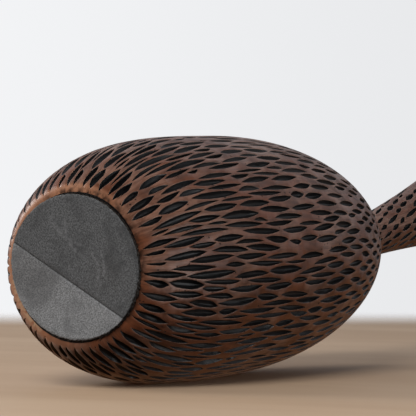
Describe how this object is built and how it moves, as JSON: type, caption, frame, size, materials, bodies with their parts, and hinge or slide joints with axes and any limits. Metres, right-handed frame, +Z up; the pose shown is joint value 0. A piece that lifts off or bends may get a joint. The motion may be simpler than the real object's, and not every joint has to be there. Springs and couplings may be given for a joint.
{
  "type": "carved clay vase",
  "caption": "Tall hollow clay vase with an ovoid belly, a pinched throat, a leaning flared neck and a felt pad under the foot.",
  "frame": {"origin": "centre of the underside of the felt pad, on the surface that the vase stands on", "axes": "+Z up the middle of the belly, the neck leans towards -Y, +X to the right when looking along +Y"},
  "size_m": [0.122, 0.122, 0.3994],
  "materials": {
    "black_clay": "satin burnished in the cuts, matt inside",
    "copper_coat": "satin burnished coat, brown with a copper sheen",
    "dark_glue": "matt",
    "grey_felt": "fibrous, matt"
  },
  "bodies": {
    "root": {"belly": "black_clay", "luting_ring": "black_clay", "neck": "black_clay", "belly_coat": "copper_coat", "neck_coat": "copper_coat", "glue_bed": "dark_glue", "felt_pad_large": "grey_felt", "felt_pad_small": "grey_felt"}
  },
  "joints": []
}
